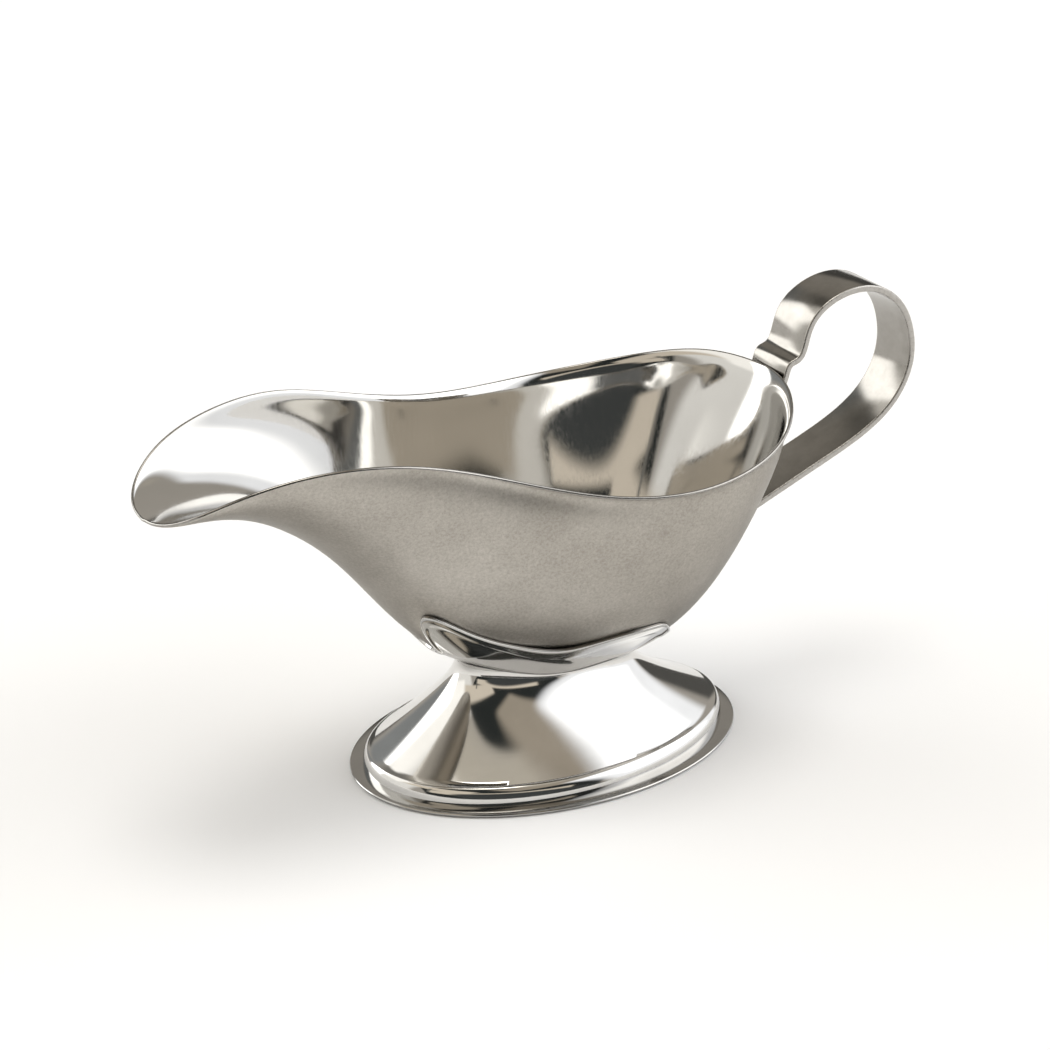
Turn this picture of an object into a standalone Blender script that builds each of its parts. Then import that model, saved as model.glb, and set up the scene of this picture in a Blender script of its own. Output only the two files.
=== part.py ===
"""Gravy boat: a pressed bowl on a saddle and a hollow oval foot, with a bent strap handle.

Lengths are in metres, +Z is up, the spout points along -X and the handle along +X.
The object is symmetric across the plane y = 0. The foot stands on z = 0.
"""

import bpy
import numpy as np

MM = 0.001

# Driving dimensions
OVERALL_SHIFT = 0.55 * MM  # moves the foot's centre so that the whole object is centred on x = 0
BOWL_SHEET = 0.8 * MM
SADDLE_SHEET = 0.8 * MM
FOOT_SHEET = 0.8 * MM
JOINT_GAP = 0.35 * MM
STRAP_WIDTH = 13.3 * MM
STRAP_THICKNESS = 1.6 * MM

# Lip of the bowl, from the spout's tip round one side to the back: (x, y, z) in millimetres
LIP_POINTS = [
    (-104.6, 0.0, 82.7),
    (-104.6, 9.0, 82.7),
    (-95.8, 17.9, 89.9),
    (-78.0, 22.5, 94.7),
    (-55.6, 27.2, 94.3),
    (-34.0, 27.0, 86.6),
    (-7.8, 37.0, 77.0),
    (18.6, 42.0, 74.3),
    (45.8, 34.1, 77.0),
    (59.4, 17.5, 82.5),
    (63.5, 4.7, 81.5),
    (63.5, 0.0, 81.5),
]
# Lowest line of the bowl in the plane of symmetry, from the spout's tip to the back: (x, z)
KEEL_POINTS = [
    (-104.6, 82.7),
    (-87.7, 82.7),
    (-65.4, 70.9),
    (-49.2, 52.6),
    (-31.6, 29.1),
    (0.7, 18.9),
    (31.0, 20.2),
    (44.4, 40.2),
    (63.5, 81.5),
]
# Shape of the cross-sections: a higher FLOOR makes a flatter floor, a higher WALL a steeper wall
FLOOR_AT_SPOUT, FLOOR_AT_BODY = 2.0, 2.15
WALL_AT_SPOUT, WALL_AT_BODY = 1.57, 1.17
BLEND_START, BLEND_END = -60 * MM, 0.0
LIP_FLARE = 1.2 * MM
LIP_FLARE_DEPTH = 3.0 * MM

# Rim of the saddle seen from above, from its spout end round one side to its back end: (x, y)
SADDLE_RIM_POINTS = [
    (-32.0, 0.0),
    (-31.8, 4.6),
    (-36.6, 7.0),
    (-42.2, 11.2),
    (-39.2, 14.4),
    (-29.0, 15.4),
    (-17.0, 16.9),
    (-5.0, 18.9),
    (6.0, 23.5),
    (16.6, 23.9),
    (20.4, 22.2),
    (27.2, 12.6),
    (32.4, 4.1),
    (32.4, 0.0),
]
# The saddle's middle stands off the bowl by this much, over an oval of these half lengths
BELLY_DEPTH = 2.4 * MM
BELLY_CENTRE = -6.0 * MM
BELLY_HALF_LENGTH, BELLY_HALF_WIDTH = 20 * MM, 24 * MM

BRIM_LENGTH, BRIM_WIDTH = 100 * MM, 70.2 * MM
BRIM_INNER_LENGTH, BRIM_INNER_WIDTH = 94.2 * MM, 62.2 * MM
SHOULDER_LENGTH, SHOULDER_WIDTH = 91.2 * MM, 57.2 * MM
SHOULDER_HEIGHT = 5.2 * MM
WAIST_LENGTH, WAIST_WIDTH = 40 * MM, 26 * MM
WAIST_RISE = 0.75
NECK_LENGTH, NECK_WIDTH = 49 * MM, 25 * MM

# Outer side of the strap, seen from the side, from the upper weld to the lower one: (x, z)
STRAP_POINTS = [
    (58.2, 69.0),
    (59.8, 72.4),
    (61.8, 76.6),
    (63.8, 80.9),
    (64.4, 83.9),
    (66.0, 85.2),
    (68.4, 85.4),
    (69.4, 88.2),
    (70.8, 94.0),
    (75.7, 98.1),
    (83.2, 100.4),
    (91.8, 99.5),
    (99.2, 94.1),
    (103.1, 86.4),
    (104.1, 76.0),
    (98.6, 66.2),
    (88.5, 60.0),
    (76.0, 55.6),
    (60.0, 49.8),
    (51.0, 46.6),
    (47.6, 44.6),
    (45.4, 40.8),
    (43.4, 37.6),
    (41.8, 35.0),
]

LIP_STATIONS = 48
BOWL_RINGS = 12
SADDLE_STATIONS = 37
SADDLE_RINGS = 8
FOOT_SPOKES = 72
FOOT_RISE_STEPS = 7
STRAP_STATIONS = 76


def spline(points, count):
    """Points along a cubic B-spline that starts and ends on its first and last control points."""
    control = np.array(points, float)
    spans = len(control) - 3
    knots = np.concatenate([[0, 0, 0], np.arange(spans + 1), [spans] * 3]).astype(float)
    made = []
    for u in np.linspace(0, spans, count):
        k = min(int(u), spans - 1) + 3
        d = [control[k - 3 + i].copy() for i in range(4)]
        for level in range(1, 4):
            for i in range(3, level - 1, -1):
                low = knots[k - 3 + i]
                share = (u - low) / (knots[i + 1 + k - level] - low)
                d[i] = (1 - share) * d[i - 1] + share * d[i]
        made.append(d[3])
    return np.array(made)


LIP = spline(LIP_POINTS, 400) * MM
KEEL = spline(KEEL_POINTS, 400) * MM


def bowl_height(x, y):
    """Height of the bowl's outer surface above the point (x, y)."""
    keel = np.interp(x, KEEL[:, 0], KEEL[:, 1])
    half_width = np.maximum(np.interp(x, LIP[:, 0], LIP[:, 1]), 1e-6)
    lip = np.interp(x, LIP[:, 0], LIP[:, 2])
    blend = np.clip((x - BLEND_START) / (BLEND_END - BLEND_START), 0, 1)
    blend = blend * blend * (3 - 2 * blend)
    floor = FLOOR_AT_SPOUT + (FLOOR_AT_BODY - FLOOR_AT_SPOUT) * blend
    wall = WALL_AT_SPOUT + (WALL_AT_BODY - WALL_AT_SPOUT) * blend
    across = np.clip(np.abs(y) / half_width, 0, 1)
    return keel + (lip - keel) * (1 - (1 - across**floor) ** (1 / wall))


def bowl_normal(x, y):
    """Outward unit normal of the bowl's outer surface, which points down and away."""
    step = 0.2 * MM
    slope_x = (bowl_height(x + step, y) - bowl_height(x - step, y)) / (2 * step)
    slope_y = (bowl_height(x, y + step) - bowl_height(x, y - step)) / (2 * step)
    normal = np.stack([slope_x, slope_y, -np.ones_like(slope_x)], -1)
    return normal / np.linalg.norm(normal, axis=-1, keepdims=True)


def grid_normals(grid):
    """Unit normals of a grid of rings, pointing down or outward."""
    along = np.gradient(grid, axis=0)
    round_ring = np.roll(grid, -1, axis=1) - np.roll(grid, 1, axis=1)
    normal = np.cross(round_ring, along)
    normal /= np.linalg.norm(normal, axis=-1, keepdims=True)
    return normal * (-1 if normal[0, 0, 2] > 0 else 1)


def material(name, colour, roughness):
    made = bpy.data.materials.new(name)
    made.use_nodes = True
    shader = made.node_tree.nodes["Principled BSDF"]
    shader.inputs["Base Color"].default_value = (*colour, 1)
    shader.inputs["Roughness"].default_value = roughness
    shader.inputs["Metallic"].default_value = 1.0
    return made


def add_object(name, points, faces, look, sharp_angle=0.7):
    mesh = bpy.data.meshes.new(name)
    mesh.from_pydata([tuple(p) for p in points], [], faces)
    mesh.validate()
    mesh.materials.append(look)
    mesh.shade_smooth()
    mesh.set_sharp_from_angle(angle=sharp_angle)
    made = bpy.data.objects.new(name, mesh)
    bpy.context.scene.collection.objects.link(made)
    made.location = (OVERALL_SHIFT, 0, 0)
    return made


def band(first, second, spokes):
    """Quads between two rings of points, given by their first indices."""
    return [
        (first + j, first + (j + 1) % spokes, second + (j + 1) % spokes, second + j)
        for j in range(spokes)
    ]


def add_dish(name, outer, inner, look):
    """A closed sheet between two bowl-like grids of rings, each ring growing from a pole."""
    rings, spokes = outer.shape[:2]
    loops = list(outer) + list(inner[::-1])
    points = np.concatenate(loops + [outer[:1].mean(1), inner[:1].mean(1)])
    faces = []
    for k in range(2 * rings - 1):
        faces += band(k * spokes, (k + 1) * spokes, spokes)
    outer_pole = 2 * rings * spokes
    last = (2 * rings - 1) * spokes
    for j in range(spokes):
        following = (j + 1) % spokes
        faces.append((outer_pole, following, j))
        faces.append((outer_pole + 1, last + j, last + following))
    return add_object(name, points, faces, look)


def add_tube_ring(name, loops, look):
    """A closed ring-shaped sheet: each loop is joined to the next, and the last to the first."""
    spokes = len(loops[0])
    faces = []
    for k in range(len(loops)):
        faces += band(k * spokes, (k + 1) % len(loops) * spokes, spokes)
    return add_object(name, np.concatenate(loops), faces, look)


def add_bowl(look):
    half = spline(LIP_POINTS, LIP_STATIONS) * MM
    lip = np.concatenate([half * (1, -1, 1), half[-2:0:-1]])
    steps = np.linspace(0, 1, BOWL_RINGS + 1)[1:]
    shares = 1 - (1 - steps) ** 1.6
    grid = np.empty((BOWL_RINGS, len(lip), 3))
    for k, share in enumerate(shares):
        plan = lip[:, :2] * share
        height = lip[:, 2] if k == BOWL_RINGS - 1 else bowl_height(plan[:, 0], plan[:, 1])
        depth = np.maximum(lip[:, 2] - height, 0) / LIP_FLARE_DEPTH
        inset = LIP_FLARE * depth * np.exp(1 - depth)
        reach = np.linalg.norm(plan, axis=1)
        plan = plan * (1 - inset / np.maximum(reach, LIP_FLARE_DEPTH))[:, None]
        grid[k] = np.column_stack([plan, height])
    inner = grid - grid_normals(grid) * BOWL_SHEET
    return add_dish("bowl", grid, inner, look)


def oval(length, width, spokes):
    turn = np.linspace(0, 2 * np.pi, spokes, endpoint=False)
    return np.column_stack([length / 2 * np.cos(turn), width / 2 * np.sin(turn)])


def belly(x, y):
    """How far the saddle's middle stands off the bowl, besides the gap at its rim."""
    lengthwise = (x - BELLY_CENTRE) / BELLY_HALF_LENGTH
    across = y / BELLY_HALF_WIDTH
    return BELLY_DEPTH * np.maximum(1 - lengthwise**2 - across**2, 0) ** 2


def below_bowl(plan, distance):
    """Points at this distance outside the bowl's surface, measured along its normal."""
    x, y = plan[:, 0], plan[:, 1]
    return np.column_stack([plan, bowl_height(x, y)]) + bowl_normal(x, y) * distance[:, None]


def add_saddle(look):
    half = spline(SADDLE_RIM_POINTS, SADDLE_STATIONS) * MM
    edge = np.concatenate([half * (1, -1), half[-2:0:-1]])
    inner, outer = [], []
    for share in np.linspace(0, 1, SADDLE_RINGS + 1)[1:]:
        plan = edge * share
        gap = JOINT_GAP + belly(plan[:, 0], plan[:, 1])
        inner.append(below_bowl(plan, gap))
        outer.append(below_bowl(plan, gap + SADDLE_SHEET))
    return add_dish("saddle", np.array(outer), np.array(inner), look)


def saddle_underside(x, y):
    """Height of the saddle's underside, from its distance below the bowl."""
    distance = JOINT_GAP + SADDLE_SHEET + belly(x, y)
    return bowl_height(x, y) + distance / bowl_normal(x, y)[..., 2]


def foot_side(inset):
    """Loops of the foot's wall from its shoulder up to its neck, moved inward by this much."""
    shoulder = oval(SHOULDER_LENGTH - 2 * inset, SHOULDER_WIDTH - 2 * inset, FOOT_SPOKES)
    waist = oval(WAIST_LENGTH - 2 * inset, WAIST_WIDTH - 2 * inset, FOOT_SPOKES)
    neck = oval(NECK_LENGTH - 2 * inset, NECK_WIDTH - 2 * inset, FOOT_SPOKES)
    top = saddle_underside(neck[:, 0], neck[:, 1]) - JOINT_GAP
    base = SHOULDER_HEIGHT - inset
    loops = []
    for t in np.linspace(0, 1, FOOT_RISE_STEPS + 1):
        plan = (1 - t) ** 2 * shoulder + 2 * t * (1 - t) * waist + t * t * neck
        rise = 2 * t * (1 - t) * WAIST_RISE + t * t
        loops.append(np.column_stack([plan, base + (top - base) * rise]))
    return loops


def add_foot(look):
    def flat(length, width, height):
        return np.column_stack([oval(length, width, FOOT_SPOKES), np.full(FOOT_SPOKES, height)])

    inset = FOOT_SHEET * 0.7
    middle = SHOULDER_HEIGHT * 0.75
    outer = [
        flat(BRIM_LENGTH, BRIM_WIDTH, 0),
        flat(BRIM_LENGTH, BRIM_WIDTH, FOOT_SHEET),
        flat(BRIM_INNER_LENGTH, BRIM_INNER_WIDTH, FOOT_SHEET),
        flat(SHOULDER_LENGTH + 2 * MM, SHOULDER_WIDTH + 3 * MM, middle),
    ] + foot_side(0)
    inner = [
        flat(BRIM_INNER_LENGTH - 2 * inset, BRIM_INNER_WIDTH - 2 * inset, 0),
        flat(SHOULDER_LENGTH + 2 * MM - 2 * inset, SHOULDER_WIDTH + 3 * MM - 2 * inset, middle - inset),
    ] + foot_side(inset)
    return add_tube_ring("foot", outer + inner[::-1], look)


def add_handle(look):
    outer = spline(STRAP_POINTS, STRAP_STATIONS) * MM
    along = np.gradient(outer, axis=0)
    along /= np.linalg.norm(along, axis=1)[:, None]
    inward = np.column_stack([along[:, 1], -along[:, 0]])
    inner = outer + inward * STRAP_THICKNESS
    side = STRAP_WIDTH / 2
    outline = np.concatenate([outer, inner[::-1]])
    count = len(outline)
    points = [(x, y, z) for y in (-side, side) for x, z in outline]
    faces = [(j, (j + 1) % count, count + (j + 1) % count, count + j) for j in range(count)]
    for j in range(STRAP_STATIONS - 1):
        back = count - 1 - j
        faces.append((j, j + 1, back - 1, back)[::-1])
        faces.append((count + j, count + j + 1, count + back - 1, count + back))
    return add_object("handle", points, faces, look, sharp_angle=0.6)


def main():
    for old in list(bpy.data.objects):
        bpy.data.objects.remove(old, do_unlink=True)
    add_bowl(material("satin_steel", (0.60, 0.57, 0.53), 0.32))
    add_saddle(material("polished_steel_saddle", (0.66, 0.64, 0.61), 0.08))
    add_foot(material("polished_steel_foot", (0.66, 0.64, 0.61), 0.10))
    add_handle(material("brushed_steel", (0.56, 0.54, 0.50), 0.28))


main()
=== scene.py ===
"""Gravy boat: the finished look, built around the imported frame. Lengths are in metres."""

import math

import bpy
import numpy as np
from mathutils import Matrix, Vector


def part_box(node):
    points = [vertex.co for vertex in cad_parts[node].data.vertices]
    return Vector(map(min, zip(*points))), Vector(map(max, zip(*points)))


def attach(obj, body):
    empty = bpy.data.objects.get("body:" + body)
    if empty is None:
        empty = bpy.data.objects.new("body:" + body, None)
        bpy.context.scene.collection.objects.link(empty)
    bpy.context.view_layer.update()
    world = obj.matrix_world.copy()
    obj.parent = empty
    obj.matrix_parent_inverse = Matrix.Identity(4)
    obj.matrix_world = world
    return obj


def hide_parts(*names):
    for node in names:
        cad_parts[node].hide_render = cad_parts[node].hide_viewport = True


MM = 0.001

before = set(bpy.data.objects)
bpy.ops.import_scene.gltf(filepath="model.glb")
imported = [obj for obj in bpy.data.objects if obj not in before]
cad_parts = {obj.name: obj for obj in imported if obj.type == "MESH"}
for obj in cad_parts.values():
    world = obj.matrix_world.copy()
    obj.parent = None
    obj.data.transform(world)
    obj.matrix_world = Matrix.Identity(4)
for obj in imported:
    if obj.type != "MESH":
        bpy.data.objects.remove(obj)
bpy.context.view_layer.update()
FOOT_LOW, FOOT_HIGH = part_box("foot")
FOOT_X = (FOOT_LOW.x + FOOT_HIGH.x) / 2

# Sheet and strap
SHEET = 0.8 * MM
SADDLE_GAP = 0.15 * MM
FOOT_GAP = 0.2 * MM
STRAP_WIDTH = 13.3 * MM
STRAP_THICKNESS = 1.6 * MM

# Lip of the bowl, from the spout's tip round one side to the back: (x, y, z) in millimetres
LIP_POINTS = [
    (-104.6, 0.0, 82.7),
    (-104.6, 9.0, 82.7),
    (-95.8, 17.9, 89.9),
    (-78.0, 22.5, 94.7),
    (-55.6, 27.2, 94.3),
    (-34.0, 27.0, 86.6),
    (-7.8, 37.0, 77.0),
    (18.6, 42.0, 74.3),
    (45.8, 34.1, 77.0),
    (59.4, 17.5, 82.5),
    (63.5, 4.7, 81.5),
    (63.5, 0.0, 81.5),
]
# Lowest line of the bowl in the plane of symmetry, from the spout's tip to the back: (x, z)
KEEL_POINTS = [
    (-104.6, 82.7),
    (-87.7, 82.7),
    (-65.4, 70.9),
    (-49.2, 52.6),
    (-31.6, 29.1),
    (0.7, 18.9),
    (31.0, 20.2),
    (44.4, 40.2),
    (63.5, 81.5),
]
FLOOR_AT_SPOUT, FLOOR_AT_BODY = 2.0, 2.15
WALL_AT_SPOUT, WALL_AT_BODY = 1.57, 1.17
BLEND_START, BLEND_END = -60 * MM, 0.0
LIP_FLARE = 0.6 * MM
LIP_FLARE_DEPTH = 2.2 * MM

# Rim of the saddle seen from above, from its spout end round one side to its back end: (x, y)
SADDLE_RIM_POINTS = [
    (-32.0, 0.0),
    (-31.8, 4.6),
    (-36.6, 7.0),
    (-42.2, 11.2),
    (-39.2, 14.4),
    (-29.0, 15.4),
    (-17.0, 16.9),
    (-5.0, 18.9),
    (6.0, 23.5),
    (16.6, 23.9),
    (20.4, 22.2),
    (27.2, 12.6),
    (32.4, 4.1),
    (32.4, 0.0),
]
# The saddle's middle stands off the bowl by this much, over an oval of these half lengths
BELLY_DEPTH = 2.4 * MM
BELLY_CENTRE = -6.0 * MM
BELLY_HALF_LENGTH, BELLY_HALF_WIDTH = 20 * MM, 24 * MM

SHOULDER_LENGTH, SHOULDER_WIDTH = 91.2 * MM, 57.2 * MM
SHOULDER_HEIGHT = 5.2 * MM
WAIST_LENGTH, WAIST_WIDTH = 40 * MM, 26 * MM
WAIST_RISE = 0.75
NECK_LENGTH, NECK_WIDTH = 49 * MM, 25 * MM
BRIM_LENGTH, BRIM_WIDTH = 100 * MM, 70.2 * MM
BRIM_INNER_LENGTH, BRIM_INNER_WIDTH = 94.2 * MM, 62.2 * MM

# Outer side of the strap, seen from the side, from the upper weld to the lower one: (x, z)
STRAP_POINTS = [
    (58.2, 69.0),
    (59.8, 72.4),
    (61.8, 76.6),
    (63.8, 80.9),
    (64.4, 83.9),
    (66.0, 85.2),
    (68.4, 85.4),
    (69.4, 88.2),
    (70.8, 94.0),
    (75.7, 98.1),
    (83.2, 100.4),
    (91.8, 99.5),
    (99.2, 94.1),
    (103.1, 86.4),
    (104.1, 76.0),
    (98.6, 66.2),
    (88.5, 60.0),
    (76.0, 55.6),
    (60.0, 49.8),
    (51.0, 46.6),
    (47.6, 44.6),
    (45.4, 40.8),
    (43.4, 37.6),
    (41.8, 35.0),
]


# ---------------------------------------------------------------- shapes


def spline(points, count):
    """Points along a cubic B-spline that starts and ends on its first and last control points."""
    control = np.array(points, float)
    spans = len(control) - 3
    knots = np.concatenate([[0, 0, 0], np.arange(spans + 1), [spans] * 3]).astype(float)
    made = []
    for u in np.linspace(0, spans, count):
        k = min(int(u), spans - 1) + 3
        d = [control[k - 3 + i].copy() for i in range(4)]
        for level in range(1, 4):
            for i in range(3, level - 1, -1):
                low = knots[k - 3 + i]
                share = (u - low) / (knots[i + 1 + k - level] - low)
                d[i] = (1 - share) * d[i - 1] + share * d[i]
        made.append(d[3])
    return np.array(made)


LIP = spline(LIP_POINTS, 1200) * MM
KEEL = spline(KEEL_POINTS, 1200) * MM


def bowl_height(x, y):
    """Height of the bowl's outer surface above the point (x, y)."""
    keel = np.interp(x, KEEL[:, 0], KEEL[:, 1])
    half_width = np.maximum(np.interp(x, LIP[:, 0], LIP[:, 1]), 1e-6)
    lip = np.interp(x, LIP[:, 0], LIP[:, 2])
    blend = np.clip((x - BLEND_START) / (BLEND_END - BLEND_START), 0, 1)
    blend = blend * blend * (3 - 2 * blend)
    floor = FLOOR_AT_SPOUT + (FLOOR_AT_BODY - FLOOR_AT_SPOUT) * blend
    wall = WALL_AT_SPOUT + (WALL_AT_BODY - WALL_AT_SPOUT) * blend
    across = np.clip(np.abs(y) / half_width, 0, 1)
    return keel + (lip - keel) * (1 - (1 - across**floor) ** (1 / wall))


def bowl_normal(x, y):
    """Outward unit normal of the bowl's outer surface, which points down and away."""
    step = 0.2 * MM
    slope_x = (bowl_height(x + step, y) - bowl_height(x - step, y)) / (2 * step)
    slope_y = (bowl_height(x, y + step) - bowl_height(x, y - step)) / (2 * step)
    normal = np.stack([slope_x, slope_y, -np.ones_like(slope_x)], -1)
    return normal / np.linalg.norm(normal, axis=-1, keepdims=True)


def grid_normals(grid):
    """Unit normals of a grid of rings, pointing down or outward."""
    along = np.gradient(grid, axis=0)
    round_ring = np.roll(grid, -1, axis=1) - np.roll(grid, 1, axis=1)
    normal = np.cross(round_ring, along)
    normal /= np.linalg.norm(normal, axis=-1, keepdims=True)
    return normal * (-1 if normal[0, 0, 2] > 0 else 1)


def oval(length, width, spokes):
    """Points of an ellipse seen from above, going round it once."""
    turn = np.linspace(0, 2 * np.pi, spokes, endpoint=False)
    return np.column_stack([length / 2 * np.cos(turn), width / 2 * np.sin(turn)])


def belly(x, y):
    """How far the saddle's middle stands off the bowl, besides the gap at its rim."""
    lengthwise = (x - BELLY_CENTRE) / BELLY_HALF_LENGTH
    across = y / BELLY_HALF_WIDTH
    return BELLY_DEPTH * np.maximum(1 - lengthwise**2 - across**2, 0) ** 2


def below_bowl(plan, distance):
    """Points at this distance outside the bowl's surface, measured along its normal."""
    x, y = plan[:, 0], plan[:, 1]
    return np.column_stack([plan, bowl_height(x, y)]) + bowl_normal(x, y) * distance[:, None]


def saddle_underside(x, y):
    """Height of the saddle's lower face above the point (x, y)."""
    distance = SADDLE_GAP + SHEET - RIM_STEP + belly(x, y)
    return bowl_height(x, y) + distance / bowl_normal(x, y)[..., 2]


def add_piece(name, points, faces, looks, face_slots, sharp_angle, node):
    """A mesh object with smooth shading that rides on the root body in place of a CAD node."""
    mesh = bpy.data.meshes.new(name)
    mesh.from_pydata([tuple(p) for p in points], [], faces)
    mesh.validate()
    for look in looks:
        mesh.materials.append(look)
    mesh.polygons.foreach_set("material_index", face_slots)
    mesh.shade_smooth()
    mesh.set_sharp_from_angle(angle=sharp_angle)
    made = bpy.data.objects.new(name, mesh)
    bpy.context.scene.collection.objects.link(made)
    made.location = (FOOT_X, 0, 0)
    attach(made, "root")
    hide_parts(node)
    return made


def band(first, second, spokes):
    """Quads between two rings of points, given by their first indices."""
    return [
        (first + j, first + (j + 1) % spokes, second + (j + 1) % spokes, second + j)
        for j in range(spokes)
    ]


def dish(loops, band_slots, bottom_slot, top_slot):
    """Points, faces and material slots of a closed sheet whose loops run from pole to pole."""
    spokes = len(loops[0])
    points = np.concatenate(list(loops) + [loops[0].mean(0)[None], loops[-1].mean(0)[None]])
    faces, slots = [], []
    for k in range(len(loops) - 1):
        faces += band(k * spokes, (k + 1) * spokes, spokes)
        slots += [band_slots[k]] * spokes
    pole = len(loops) * spokes
    last = (len(loops) - 1) * spokes
    for j in range(spokes):
        following = (j + 1) % spokes
        faces.append((pole, following, j))
        faces.append((pole + 1, last + j, last + following))
        slots += [bottom_slot, top_slot]
    return points, faces, slots


BOWL_STATIONS = 220
BOWL_RINGS = 90
BOWL_RING_CROWDING = 2.2  # above 1, the rings crowd towards the lip
LIP_ROUND_STEPS = 6
BOWL_SHARP_ANGLE = 1.2


def add_bowl(outside, inside, edge):
    half = spline(LIP_POINTS, BOWL_STATIONS) * MM
    lip = np.concatenate([half * (1, -1, 1), half[-2:0:-1]])
    steps = np.linspace(0, 1, BOWL_RINGS + 1)[1:]
    shares = 1 - (1 - steps) ** BOWL_RING_CROWDING
    grid = np.empty((BOWL_RINGS, len(lip), 3))
    for k, share in enumerate(shares):
        plan = lip[:, :2] * share
        height = lip[:, 2] if k == BOWL_RINGS - 1 else bowl_height(plan[:, 0], plan[:, 1])
        depth = np.maximum(lip[:, 2] - height, 0) / LIP_FLARE_DEPTH
        inset = LIP_FLARE * depth * np.exp(1 - depth)
        reach = np.linalg.norm(plan, axis=1)
        plan = plan * (1 - inset / np.maximum(reach, LIP_FLARE_DEPTH))[:, None]
        grid[k] = np.column_stack([plan, height])
    outward = grid_normals(grid)
    inner = grid - outward * SHEET
    # The cut edge is rounded: half a turn from the outer surface to the inner one
    middle = (grid[-1] + inner[-1]) / 2
    out = grid[-1] - middle
    up = grid[-1] - grid[-2]
    up /= np.linalg.norm(up, axis=1)[:, None]
    rounded = []
    for turn in np.linspace(0, math.pi, LIP_ROUND_STEPS + 1)[1:-1]:
        rounded.append(middle + out * math.cos(turn) + up * (SHEET / 2) * math.sin(turn))
    loops = list(grid) + rounded + list(inner[::-1])
    slots = [0] * (BOWL_RINGS - 1) + [2] * LIP_ROUND_STEPS + [1] * (BOWL_RINGS - 1)
    points, faces, face_slots = dish(loops, slots, 0, 1)
    return add_piece("bowl_shell", points, faces, [outside, inside, edge], face_slots,
                     BOWL_SHARP_ANGLE, "bowl")


SADDLE_STATIONS = 150
SADDLE_RINGS = 70
SADDLE_RING_CROWDING = 2.0
SADDLE_SHARP_ANGLE = 0.9
RIM_BAND = 2.3 * MM
RIM_STEP = 0.35 * MM
RIM_STEP_SOFTNESS = 0.12 * RIM_BAND
RIM_ROUND = 0.5 * MM
RIM_ROUND_SHARE = 0.7


def add_saddle(look):
    """The saddle's outer face stands proud in a band along its rim, with a rounded outer edge."""
    half = spline(SADDLE_RIM_POINTS, SADDLE_STATIONS) * MM
    edge = np.concatenate([half * (1, -1), half[-2:0:-1]])
    reach = np.linalg.norm(edge, axis=1)
    outer, inner = [], []
    steps = np.linspace(0, 1, SADDLE_RINGS + 1)[1:]
    for share in 1 - (1 - steps) ** SADDLE_RING_CROWDING:
        plan = edge * share
        from_edge = (1 - share) * reach
        step = RIM_STEP / (1 + np.exp((from_edge - RIM_BAND) / RIM_STEP_SOFTNESS))
        rounding = RIM_ROUND - np.sqrt(RIM_ROUND**2 - np.maximum(RIM_ROUND - from_edge, 0) ** 2)
        gap = SADDLE_GAP + belly(plan[:, 0], plan[:, 1])
        thickness = SHEET - RIM_STEP + step - rounding * RIM_ROUND_SHARE
        outer.append(below_bowl(plan, gap + thickness))
        inner.append(below_bowl(plan, gap))
    loops = outer + inner[::-1]
    points, faces, slots = dish(loops, [0] * (len(loops) - 1), 0, 0)
    return add_piece("saddle_dish", points, faces, [look], slots, SADDLE_SHARP_ANGLE,
                     "saddle")


FOOT_SPOKES = 288
FOOT_RISE_STEPS = 40
SHOULDER_STEPS = 14
BRIM_ROUND_STEPS = 5
FOOT_INSET = 0.75 * SHEET
FOOT_SHARP_ANGLE = 0.6


def foot_side(inset):
    """Loops of the foot's wall from its shoulder up to its neck, moved inward by this much."""
    shoulder = oval(SHOULDER_LENGTH - 2 * inset, SHOULDER_WIDTH - 2 * inset, FOOT_SPOKES)
    waist = oval(WAIST_LENGTH - 2 * inset, WAIST_WIDTH - 2 * inset, FOOT_SPOKES)
    neck = oval(NECK_LENGTH - 2 * inset, NECK_WIDTH - 2 * inset, FOOT_SPOKES)
    top = saddle_underside(neck[:, 0], neck[:, 1]) - FOOT_GAP
    base = SHOULDER_HEIGHT - inset
    loops = []
    for t in np.linspace(0, 1, FOOT_RISE_STEPS + 1):
        plan = (1 - t) ** 2 * shoulder + 2 * t * (1 - t) * waist + t * t * neck
        rise = 2 * t * (1 - t) * WAIST_RISE + t * t
        loops.append(np.column_stack([plan, base + (top - base) * rise]))
    return loops


def flat_loop(length, width, height):
    return np.column_stack([oval(length, width, FOOT_SPOKES), np.full(FOOT_SPOKES, height)])


def shoulder_loops(inset):
    """The rounded step between the brim and the shoulder."""
    loops = []
    for t in np.linspace(0, 1, SHOULDER_STEPS + 1)[:-1]:
        turn = t * math.pi / 2
        share = 1 - math.cos(turn)
        length = BRIM_INNER_LENGTH + (SHOULDER_LENGTH - BRIM_INNER_LENGTH) * share
        width = BRIM_INNER_WIDTH + (SHOULDER_WIDTH - BRIM_INNER_WIDTH) * share
        height = SHEET + (SHOULDER_HEIGHT - SHEET) * math.sin(turn)
        loops.append(flat_loop(length - 2 * inset, width - 2 * inset, height - inset))
    return loops


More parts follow.
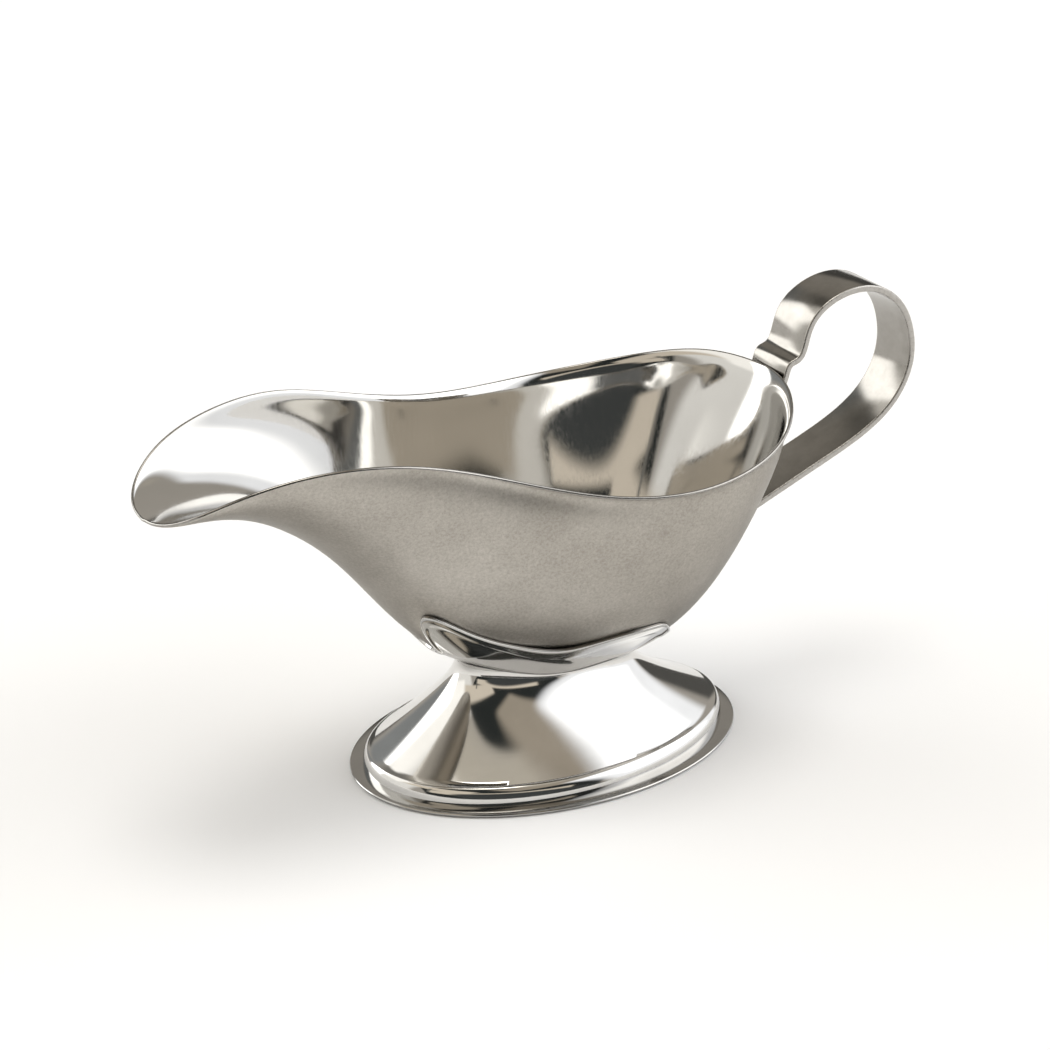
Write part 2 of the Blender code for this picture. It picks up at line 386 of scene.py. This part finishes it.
def add_foot(look, brim_look):
    inset = FOOT_INSET
    radius = SHEET / 2
    brim = []
    for turn in np.linspace(-math.pi / 2, math.pi / 2, BRIM_ROUND_STEPS + 1):
        grow = 2 * radius * (math.cos(turn) - 1)
        height = radius + radius * math.sin(turn)
        brim.append(flat_loop(BRIM_LENGTH + grow, BRIM_WIDTH + grow, height))
    outer = brim + shoulder_loops(0) + foot_side(0)
    inner = [flat_loop(BRIM_INNER_LENGTH - 2 * inset, BRIM_INNER_WIDTH - 2 * inset, 0)]
    inner += shoulder_loops(inset)[1:] + foot_side(inset)
    loops = outer + inner[::-1]
    faces, slots = [], []
    for k in range(len(loops)):
        faces += band(k * FOOT_SPOKES, (k + 1) % len(loops) * FOOT_SPOKES, FOOT_SPOKES)
        slots += [1 if k < len(brim) else 0] * FOOT_SPOKES
    return add_piece("foot_shell", np.concatenate(loops), faces, [look, brim_look], slots,
                     FOOT_SHARP_ANGLE, "foot")


STRAP_STATIONS = 420
STRAP_SHARP_ANGLE = 0.6
EDGE_ROUND = 0.35 * MM
EDGE_STEPS = 4


def strap_section():
    """Half-round corners of the strap's section: (across, through) pairs, going round it once."""
    across = STRAP_WIDTH / 2
    section = []
    corners = [(1, 0, 0), (1, 1, 1), (-1, 1, 2), (-1, 0, 3)]
    for side, through, quarter in corners:
        middle_across = side * (across - EDGE_ROUND)
        middle_through = EDGE_ROUND + through * (STRAP_THICKNESS - 2 * EDGE_ROUND)
        for step in range(EDGE_STEPS + 1):
            turn = (quarter - 1 + step / EDGE_STEPS) * math.pi / 2
            section.append((middle_across + EDGE_ROUND * math.cos(turn),
                            middle_through + EDGE_ROUND * math.sin(turn)))
    return section


def add_handle(face_look, edge_look):
    outer = spline(STRAP_POINTS, STRAP_STATIONS) * MM
    along = np.gradient(outer, axis=0)
    along /= np.linalg.norm(along, axis=1)[:, None]
    inward = np.column_stack([along[:, 1], -along[:, 0]])
    section = strap_section()
    count = len(section)
    points = []
    for (x, z), (dx, dz) in zip(outer, inward):
        points += [(x + dx * depth, y, z + dz * depth) for y, depth in section]
    faces, slots = [], []
    for i in range(STRAP_STATIONS - 1):
        for j in range(count):
            following = (j + 1) % count
            faces.append((i * count + j, (i + 1) * count + j,
                          (i + 1) * count + following, i * count + following))
            flat_face = j in (EDGE_STEPS + EDGE_STEPS + 1, count - 1)
            slots.append(0 if flat_face else 1)
    faces.append(tuple(range(count)))
    faces.append(tuple(range((STRAP_STATIONS - 1) * count, STRAP_STATIONS * count))[::-1])
    slots += [1, 1]
    return add_piece("strap_handle", points, faces, [face_look, edge_look], slots,
                     STRAP_SHARP_ANGLE, "handle")


# ---------------------------------------------------------------- materials


class Nodes:
    """Short calls for building one material's node tree."""

    def __init__(self, name):
        self.material = bpy.data.materials.new(name)
        self.material.use_nodes = True
        self.tree = self.material.node_tree
        self.shader = self.tree.nodes["Principled BSDF"]

    def add(self, kind, **values):
        node = self.tree.nodes.new(kind)
        for key, value in values.items():
            setattr(node, key, value)
        return node

    def link(self, source, target):
        self.tree.links.new(source, target)

    def set(self, **values):
        """Constants on the shader's own inputs."""
        for key, value in values.items():
            self.shader.inputs[key.replace("_", " ")].default_value = value

    def place(self, scale=(1, 1, 1), coordinates="Object"):
        """Object or UV coordinates, stretched by this much along each axis."""
        source = self.add("ShaderNodeTexCoord")
        mapping = self.add("ShaderNodeMapping")
        mapping.inputs["Scale"].default_value = scale
        self.link(source.outputs[coordinates], mapping.inputs["Vector"])
        return mapping.outputs["Vector"]

    def noise(self, vector, scale, detail=3.0, roughness=0.5, distortion=0.0):
        node = self.add("ShaderNodeTexNoise")
        node.inputs["Scale"].default_value = scale
        node.inputs["Detail"].default_value = detail
        node.inputs["Roughness"].default_value = roughness
        node.inputs["Distortion"].default_value = distortion
        self.link(vector, node.inputs["Vector"])
        return node.outputs["Fac"]

    def ranged(self, value, low, high, from_low=0.3, from_high=0.7):
        node = self.add("ShaderNodeMapRange")
        node.inputs["From Min"].default_value = from_low
        node.inputs["From Max"].default_value = from_high
        node.inputs["To Min"].default_value = low
        node.inputs["To Max"].default_value = high
        self.link(value, node.inputs["Value"])
        return node.outputs["Result"]

    def math(self, operation, first, second):
        node = self.add("ShaderNodeMath", operation=operation)
        for socket, value in zip(node.inputs, (first, second)):
            if isinstance(value, (int, float)):
                socket.default_value = value
            else:
                self.link(value, socket)
        return node.outputs["Value"]

    def mix(self, share, first, second):
        node = self.add("ShaderNodeMix", data_type="RGBA")
        self.link(share, node.inputs["Factor"])
        node.inputs["A"].default_value = (*first, 1)
        node.inputs["B"].default_value = (*second, 1)
        return node.outputs["Result"]

    def base(self, share, low, high):
        """Base colour that goes from low to high with this share."""
        self.link(self.mix(share, low, high), self.shader.inputs["Base Color"])

    def roughness(self, value):
        self.link(value, self.shader.inputs["Roughness"])

    def normal(self, value):
        self.link(value, self.shader.inputs["Normal"])

    def bump(self, height, distance, strength=1.0, normal=None):
        node = self.add("ShaderNodeBump")
        node.inputs["Strength"].default_value = strength
        node.inputs["Distance"].default_value = distance
        self.link(height, node.inputs["Height"])
        if normal is not None:
            self.link(normal, node.inputs["Normal"])
        return node.outputs["Normal"]


def satin_outside():
    n = Nodes("satin_steel")
    n.set(Metallic=1.0, Anisotropic=0.2, Specular_Tint=(0.6, 0.6, 0.6, 1))
    cloud = n.noise(n.place(), 45, 4, 0.6)
    grain = n.noise(n.place(), 1500, 5, 0.8)
    mottle = n.math("ADD", n.math("MULTIPLY", cloud, 0.35), n.math("MULTIPLY", grain, 0.65))
    shade = n.ranged(mottle, 0, 1, 0.36, 0.64)
    n.base(shade, (0.315, 0.292, 0.259), (0.540, 0.512, 0.468))
    n.roughness(n.ranged(grain, 0.28, 0.42))
    n.normal(n.bump(grain, 0.00005, 0.6))
    return n.material


def brushed_inside():
    n = Nodes("brushed_polished_steel")
    n.set(Metallic=1.0, Anisotropic=0.3)
    lines = n.noise(n.place((1, 1, 0.03)), 1800, 2, 0.6)
    sweep = n.noise(n.place(), 30, 3, 0.5)
    n.base(n.ranged(sweep, 0, 1), (0.54, 0.53, 0.51), (0.62, 0.61, 0.59))
    n.roughness(n.ranged(lines, 0.05, 0.12))
    n.normal(n.bump(lines, 0.000005, 0.12))
    return n.material


# Metal for cut edges. The scale on its base colour paints light and shade: the bowl's lip gets a
# darker copy as painted shade, and the strap's edge gets a copy lighter than the strap's face as
# painted highlight.
def edge_painted_light_and_shade(name, roughness, painted_light_scale):
    n = Nodes(name)
    n.set(Metallic=1.0)
    fine = n.noise(n.place(), 900, 3, 0.6)
    low = Vector((0.46, 0.44, 0.41)) * painted_light_scale
    high = Vector((0.58, 0.56, 0.53)) * painted_light_scale
    n.base(n.ranged(fine, 0, 1), low, high)
    n.roughness(n.ranged(fine, roughness - 0.04, roughness + 0.06))
    n.normal(n.bump(fine, 0.00002, 0.3))
    return n.material


# Mirror steel. A scale below 1 on its base colour makes a darker copy: the saddle's copy is painted
# shade, and the brim's is a painted dark reflection.
def mirror_polish(name, roughness, painted_light_scale=1.0):
    n = Nodes(name)
    n.set(Metallic=1.0)
    haze = n.noise(n.place(), 60, 4, 0.6)
    lines = n.noise(n.place((0.04, 0.04, 1)), 2200, 2, 0.6)
    wave = n.noise(n.place(), 38, 1, 0.4)
    low = Vector((0.62, 0.61, 0.59)) * painted_light_scale
    high = Vector((0.70, 0.69, 0.67)) * painted_light_scale
    n.base(n.ranged(haze, 0, 1), low, high)
    n.roughness(n.ranged(haze, roughness, roughness + 0.05))
    waves = n.bump(wave, 0.00025, 0.35)
    n.normal(n.bump(lines, 0.000006, 0.2, waves))
    return n.material


def brushed_strap():
    n = Nodes("brushed_strap_steel")
    n.set(Metallic=1.0)
    lines = n.noise(n.place((0.05, 1, 0.05)), 2600, 3, 0.6)
    cloud = n.noise(n.place(), 140, 5, 0.65)
    n.base(n.ranged(cloud, 0, 1), (0.250, 0.238, 0.218), (0.330, 0.316, 0.292))
    n.roughness(n.ranged(cloud, 0.12, 0.18))
    n.normal(n.bump(lines, 0.000005, 0.25))
    return n.material


def floor_finish():
    n = Nodes("pale_floor")
    n.set(Roughness=0.7)
    soft = n.noise(n.place(), 3, 2, 0.5)
    n.base(n.ranged(soft, 0, 1), (0.915, 0.925, 0.945), (0.925, 0.935, 0.955))
    return n.material


# ---------------------------------------------------------------- stage, light and camera


FLOOR_SIZE = 6
FLOOR_DROP = 0.2 * MM


def add_floor():
    bpy.ops.mesh.primitive_plane_add(size=FLOOR_SIZE)
    floor = bpy.context.object
    floor.name = "floor"
    floor.location = (0, 0, FOOT_LOW.z - FLOOR_DROP)
    floor.data.materials.append(floor_finish())


def direction(azimuth, elevation):
    """Unit vector towards this azimuth and elevation in degrees. The camera is at -33, 24."""
    a, e = math.radians(azimuth), math.radians(elevation)
    return Vector((math.sin(a) * math.cos(e), -math.cos(a) * math.cos(e), math.sin(e)))


# A card shows only in directions whose cosine with its own direction is above this
CARD_HORIZON = 0.02


class Studio:
    """A world of soft cards: each has a direction, two half angles, a soft edge and a colour."""

    def __init__(self, colour):
        self.world = bpy.data.worlds.new("studio")
        self.world.use_nodes = True
        self.tree = self.world.node_tree
        self.towards = self.tree.nodes.new("ShaderNodeTexCoord").outputs["Generated"]
        start = self.tree.nodes.new("ShaderNodeRGB")
        start.outputs[0].default_value = (*colour, 1)
        self.colour = start.outputs[0]

    def math(self, operation, first, second=0.0):
        node = self.tree.nodes.new("ShaderNodeMath")
        node.operation = operation
        for socket, value in zip(node.inputs, (first, second)):
            if isinstance(value, (int, float)):
                socket.default_value = value
            else:
                self.tree.links.new(value, socket)
        return node.outputs[0]

    def along(self, axis):
        """How far each direction points along this axis."""
        node = self.tree.nodes.new("ShaderNodeVectorMath")
        node.operation = "DOT_PRODUCT"
        self.tree.links.new(self.towards, node.inputs[0])
        node.inputs[1].default_value = axis
        return node.outputs["Value"]

    def inside(self, distance, edge, soft):
        """1 where the distance is below the edge and 0 above it, with a soft change between."""
        node = self.tree.nodes.new("ShaderNodeMapRange")
        node.interpolation_type = "SMOOTHSTEP"
        node.inputs["From Min"].default_value = edge - soft
        node.inputs["From Max"].default_value = edge + soft
        node.inputs["To Min"].default_value = 1
        node.inputs["To Max"].default_value = 0
        self.tree.links.new(distance, node.inputs["Value"])
        return node.outputs["Result"]

    def card(self, azimuth, elevation, wide, high, soft, colour, tilt=0, rounded=False):
        """Adds a card centred on this direction that spans wide and high degrees each way."""
        front = direction(azimuth, elevation)
        side = direction(azimuth + 90, 0)
        up = front.cross(side) * -1
        turn = math.radians(tilt)
        level_side, level_up = side, up
        side = level_side * math.cos(turn) + level_up * math.sin(turn)
        up = level_up * math.cos(turn) - level_side * math.sin(turn)
        depth = self.along(front)
        half_width, half_height = math.tan(math.radians(wide)), math.tan(math.radians(high))
        x = self.math("ABSOLUTE", self.math("DIVIDE", self.along(side), depth))
        y = self.math("ABSOLUTE", self.math("DIVIDE", self.along(up), depth))
        if rounded:
            x = self.math("POWER", self.math("DIVIDE", x, half_width), 2.0)
            y = self.math("POWER", self.math("DIVIDE", y, half_height), 2.0)
            share = self.inside(self.math("ADD", x, y), 1.0, soft / half_height)
        else:
            within_sides = self.inside(x, half_width, soft)
            within_height = self.inside(y, half_height, soft)
            share = self.math("MULTIPLY", within_sides, within_height)
        in_front = self.math("GREATER_THAN", depth, CARD_HORIZON)
        share = self.math("MULTIPLY", share, in_front)
        mix = self.tree.nodes.new("ShaderNodeMix")
        mix.data_type = "RGBA"
        self.tree.links.new(share, mix.inputs["Factor"])
        self.tree.links.new(self.colour, mix.inputs["A"])
        mix.inputs["B"].default_value = (*colour, 1)
        self.colour = mix.outputs["Result"]

    def finish(self, strength):
        background = self.tree.nodes["Background"]
        self.tree.links.new(self.colour, background.inputs["Color"])
        background.inputs["Strength"].default_value = strength
        bpy.context.scene.world = self.world


WARM_GREY = (0.46, 0.43, 0.385)
DARK_GREY = (0.10, 0.097, 0.09)
DIM_GREY = (0.22, 0.21, 0.19)
BLACK_CLOTH = (0.030, 0.034, 0.033)
BEIGE_WALL = (0.85, 0.76, 0.63)
PALE_WALL = (1.05, 1.03, 0.98)
LIGHT_GREY = (0.29, 0.30, 0.30)
GREY_CLOTH = (0.066, 0.071, 0.070)
DIM_BEIGE = (0.44, 0.385, 0.31)
PALE_SCREEN = (1.45, 1.42, 1.35)
CEILING = (0.62, 0.57, 0.48)
TOP_SOFTBOX = (5.8, 5.6, 5.25)
SOFTBOX = (2.9, 2.9, 2.88)
SOFTBOX_STRIP = (3.6, 3.6, 3.55)
SOFTBOX_EDGE = (1.30, 1.32, 1.36)


def add_studio():
    studio = Studio(WARM_GREY)
    studio.card(-33, 90, 25, 25, 0.12, CEILING)
    studio.card(-33, 90, 12, 12, 0.08, TOP_SOFTBOX)
    studio.card(-112, 30, 27, 34, 0.10, PALE_WALL)
    studio.card(-170, 22, 16, 16, 0.12, LIGHT_GREY)
    studio.card(-166, 52, 14, 10, 0.10, DIM_GREY)
    studio.card(140, 5, 32, 15, 0.06, DARK_GREY)
    studio.card(-24, 22, 48, 43, 0.04, BLACK_CLOTH)
    studio.card(12, 51, 20, 11, 0.06, DIM_BEIGE, tilt=-8)
    studio.card(-28, 21.5, 39, 8, 0.03, BEIGE_WALL)
    studio.card(-82, 39, 38, 11, 0.05, BEIGE_WALL)
    studio.card(-69, 22, 1.2, 12, 0.01, DIM_GREY)
    studio.card(-13, 9, 36, 15, 0.10, GREY_CLOTH, tilt=12, rounded=True)
    studio.card(-127, 38, 22, 20, 0.08, PALE_SCREEN)
    studio.card(-146, 21, 13, 20, 0.06, SOFTBOX_STRIP)
    studio.card(66, 18, 39, 38, 0.12, SOFTBOX_EDGE)
    studio.card(62, 30, 25, 20, 0.14, SOFTBOX)
    studio.finish(1.0)


FLAG_AZIMUTH = -18
FLAG_NEAR, FLAG_NEAR_HALF_WIDTH = 0.158, 0.16
FLAG_FAR, FLAG_FAR_HALF_WIDTH = 1.2, 1.05
FLAG_HEIGHT = 0.3 * MM


def add_floor_flag():
    """A dull dark sheet flat in front of the object, seen only in reflections."""
    near = direction(FLAG_AZIMUTH, 0) * FLAG_NEAR
    far = direction(FLAG_AZIMUTH, 0) * FLAG_FAR
    side = direction(FLAG_AZIMUTH + 90, 0)
    corners = [
        near - side * FLAG_NEAR_HALF_WIDTH,
        near + side * FLAG_NEAR_HALF_WIDTH,
        far + side * FLAG_FAR_HALF_WIDTH,
        far - side * FLAG_FAR_HALF_WIDTH,
    ]
    mesh = bpy.data.meshes.new("floor_flag")
    mesh.from_pydata([(p.x, p.y, FLAG_HEIGHT) for p in corners], [], [(0, 1, 2, 3)])
    look = Nodes("black_cloth")
    look.set(Roughness=0.95)
    weave = look.noise(look.place(), 700, 2, 0.5)
    look.base(weave, (0.008, 0.009, 0.008), (0.018, 0.02, 0.018))
    mesh.materials.append(look.material)
    flag = bpy.data.objects.new("floor_flag", mesh)
    bpy.context.scene.collection.objects.link(flag)
    flag.visible_camera = False
    flag.visible_shadow = False
    flag.visible_diffuse = False


CAMERA_AZIMUTH, CAMERA_ELEVATION, CAMERA_DISTANCE = -33, 24.336, 0.9
CAMERA_TARGET = (FOOT_X - 5.455 * MM, 0, 57.33 * MM)
CAMERA_LENS, CAMERA_SENSOR = 132.4, 36  # millimetres
CAMERA_CLIP_START = 0.01


def add_camera():
    data = bpy.data.cameras.new("camera")
    data.lens = CAMERA_LENS
    data.sensor_width = CAMERA_SENSOR
    data.clip_start = CAMERA_CLIP_START
    camera = bpy.data.objects.new("camera", data)
    bpy.context.scene.collection.objects.link(camera)
    back = CAMERA_DISTANCE * direction(CAMERA_AZIMUTH, CAMERA_ELEVATION)
    camera.location = Vector(CAMERA_TARGET) + back
    camera.rotation_euler = back.to_track_quat("Z", "Y").to_euler()
    bpy.context.scene.camera = camera


def main():
    # The lip's edge steel is scaled to 0.6 of its colour: painted shade along the lip.
    add_bowl(satin_outside(), brushed_inside(), edge_painted_light_and_shade("lip_steel_painted_shade", 0.14, 0.6))
    # The saddle's mirror steel is scaled to 0.75 of the foot's colour: painted shade under the
    # bowl.
    add_saddle(mirror_polish("mirror_saddle_steel_painted_shade", 0.04, 0.75))
    # The brim's steel is rougher than the foot's and scaled to 0.62 of its colour: a painted dark
    # reflection.
    add_foot(mirror_polish("mirror_foot_steel", 0.05), mirror_polish("foot_brim_steel_painted_reflection", 0.10, 0.62))
    # The strap's cut edges are rougher than its face. Their lighter base colour is a painted
    # highlight.
    add_handle(brushed_strap(), edge_painted_light_and_shade("cut_strap_edge_steel_painted_highlight", 0.28, 0.8))
    add_floor()
    add_floor_flag()
    add_studio()
    add_camera()
    bpy.context.scene.view_settings.view_transform = "Standard"


main()
